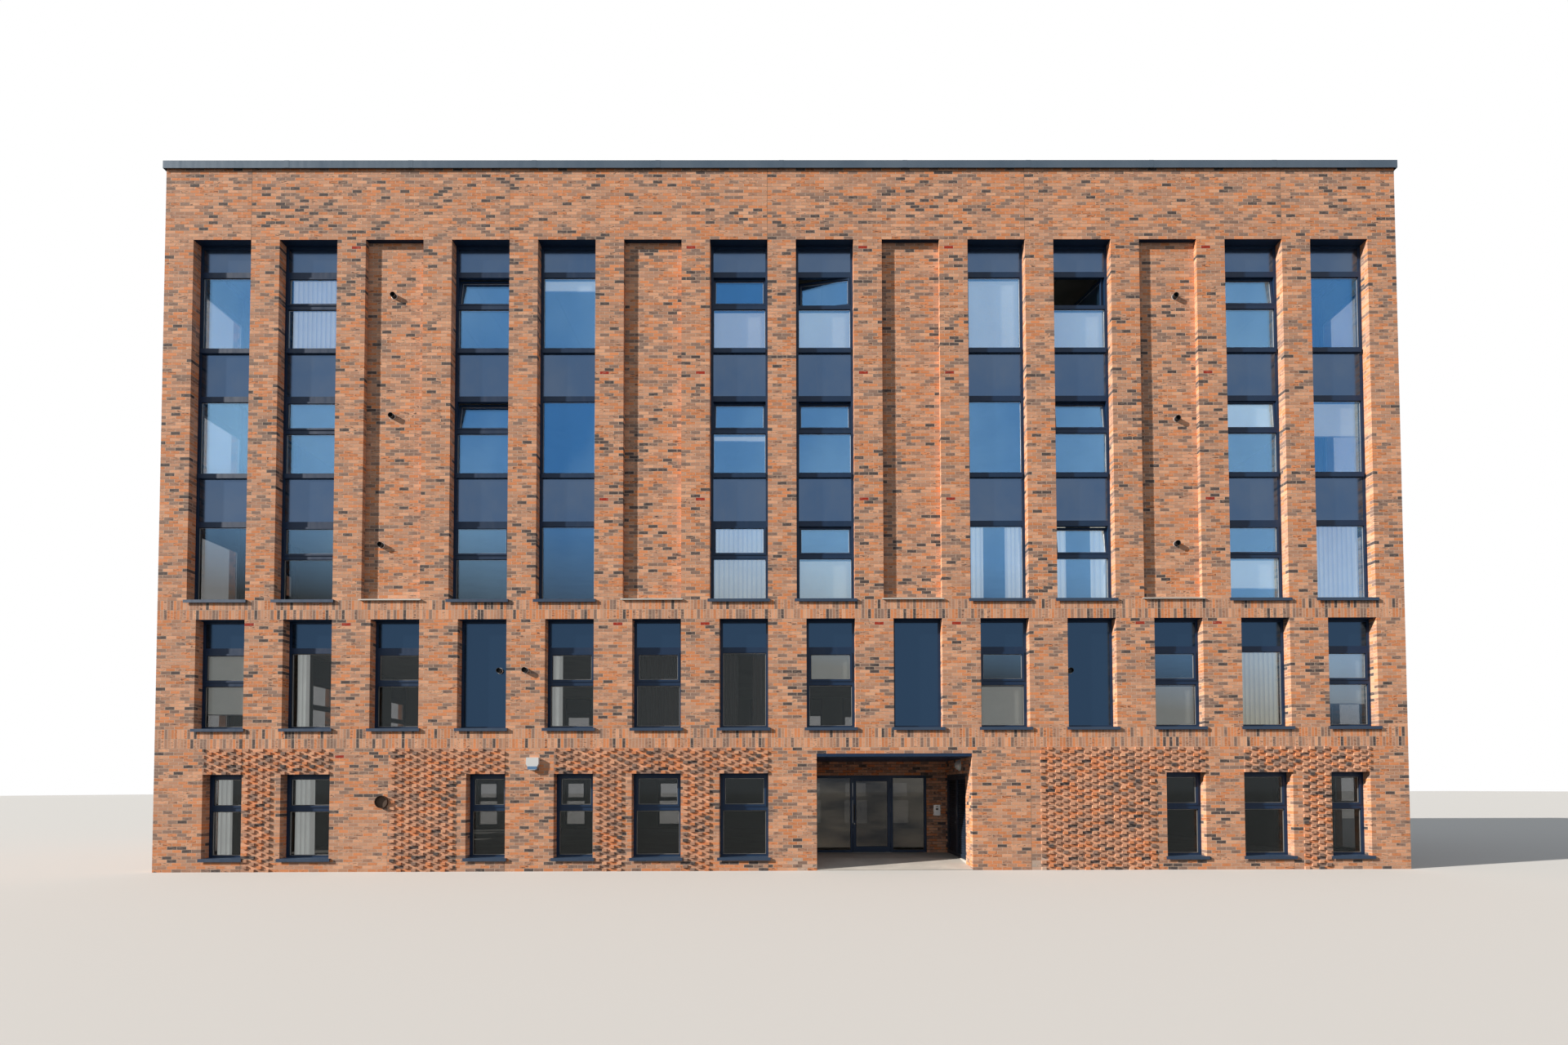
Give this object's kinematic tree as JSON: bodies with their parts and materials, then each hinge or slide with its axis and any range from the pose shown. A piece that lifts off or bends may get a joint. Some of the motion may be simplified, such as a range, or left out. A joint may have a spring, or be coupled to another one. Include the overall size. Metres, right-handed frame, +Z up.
{
  "type": "apartment block",
  "caption": "Flat-roofed brick apartment block with tall recessed window strips, opaque panels, a recessed entrance with a hinged glazed door and louvred store doors.",
  "frame": {"origin": "on the ground under the centre of the footprint", "axes": "+X along the front to the right as seen from outside, +Y from the front to the back, +Z up"},
  "size_m": [29.115, 15.0166, 16.715],
  "materials": {
    "brick": "matt multi-tone facing brick with pale mortar joints",
    "concrete": "plain concrete",
    "roof_membrane": "grey single-ply roof membrane",
    "coping_metal": "slate blue powder-coated pressed metal",
    "dark_metal": "dark blue-grey powder coat, satin",
    "spandrel": "slate blue-grey powder-coated panel, satin",
    "louvre_metal": "dark grey powder coat, satin",
    "pale_flashing": "pale grey coated flashing, weathered",
    "glass": "clear sealed glass units that mirror the sky",
    "brushed_steel": "brushed stainless steel",
    "duct_black": "matt black duct terminal",
    "duct_brown": "matt dark brown duct terminal",
    "white_plastic": "white moulded plastic with a blue lower part",
    "opal_plastic": "opal diffuser",
    "paving": "pale grey slab paving, weathered"
  },
  "bodies": {
    "root": {"front_ground_wall_left": "brick", "front_ground_wall_right": "brick", "entrance_lintel": "brick", "front_first_floor_wall": "brick", "front_upper_wall": "brick", "back_wall": "brick", "left_wall": "brick", "right_wall": "brick", "ground_slab": "concrete", "ground_slab_wings": "concrete", "first_floor_slab": "concrete", "second_floor_slab": "concrete", "third_floor_slab": "concrete", "fourth_floor_slab": "concrete", "roof_slab": "roof_membrane", "coping": "coping_metal", "recess_left_wall": "brick", "recess_right_jambs": "brick", "recess_right_head": "brick", "recess_back_head": "brick", "recess_back_pier": "brick", "recess_soffit": "dark_metal", "recess_floor": "paving", "entrance_screen": "dark_metal", "entrance_screen_head": "dark_metal", "entrance_screen_glass": "glass", "louvre_frame_jambs": "dark_metal", "louvre_frame_head": "dark_metal", "front_window_frames": "dark_metal", "back_window_frames": "dark_metal", "end_window_frames": "dark_metal", "front_glass": "glass", "back_glass": "glass", "end_glass": "glass", "front_panels": "spandrel", "back_panels": "spandrel", "end_panels": "spandrel", "window_sills": "dark_metal", "recess_flashings": "pale_flashing", "duct_terminals": "duct_black", "ground_vent": "duct_brown", "alarm_box": "white_plastic", "entry_panel": "brushed_steel", "bulkhead_light": "opal_plastic"},
    "entrance_leaf": {"entrance_door": "dark_metal", "entrance_door_glass": "glass", "entrance_door_handle": "brushed_steel"},
    "louvre_leaf_front": {"louvre_door_front": "louvre_metal"},
    "louvre_leaf_rear": {"louvre_door_rear": "louvre_metal"}
  },
  "joints": [
    {"name": "entrance_door_hinge", "type": "hinge", "parent": "root", "child": "entrance_leaf", "pos_m": [2.8845, -4.472, 1.2], "axis": [0, 0, 1], "range_deg": [0, 90]},
    {"name": "front_louvre_hinge", "type": "hinge", "parent": "root", "child": "louvre_leaf_front", "pos_m": [4.3955, -6.727, 1.2], "axis": [0, 0, 1], "range_deg": [0, 90]},
    {"name": "rear_louvre_hinge", "type": "hinge", "parent": "root", "child": "louvre_leaf_rear", "pos_m": [4.3955, -4.663, 1.2], "axis": [0, 0, -1], "range_deg": [0, 90]}
  ]
}
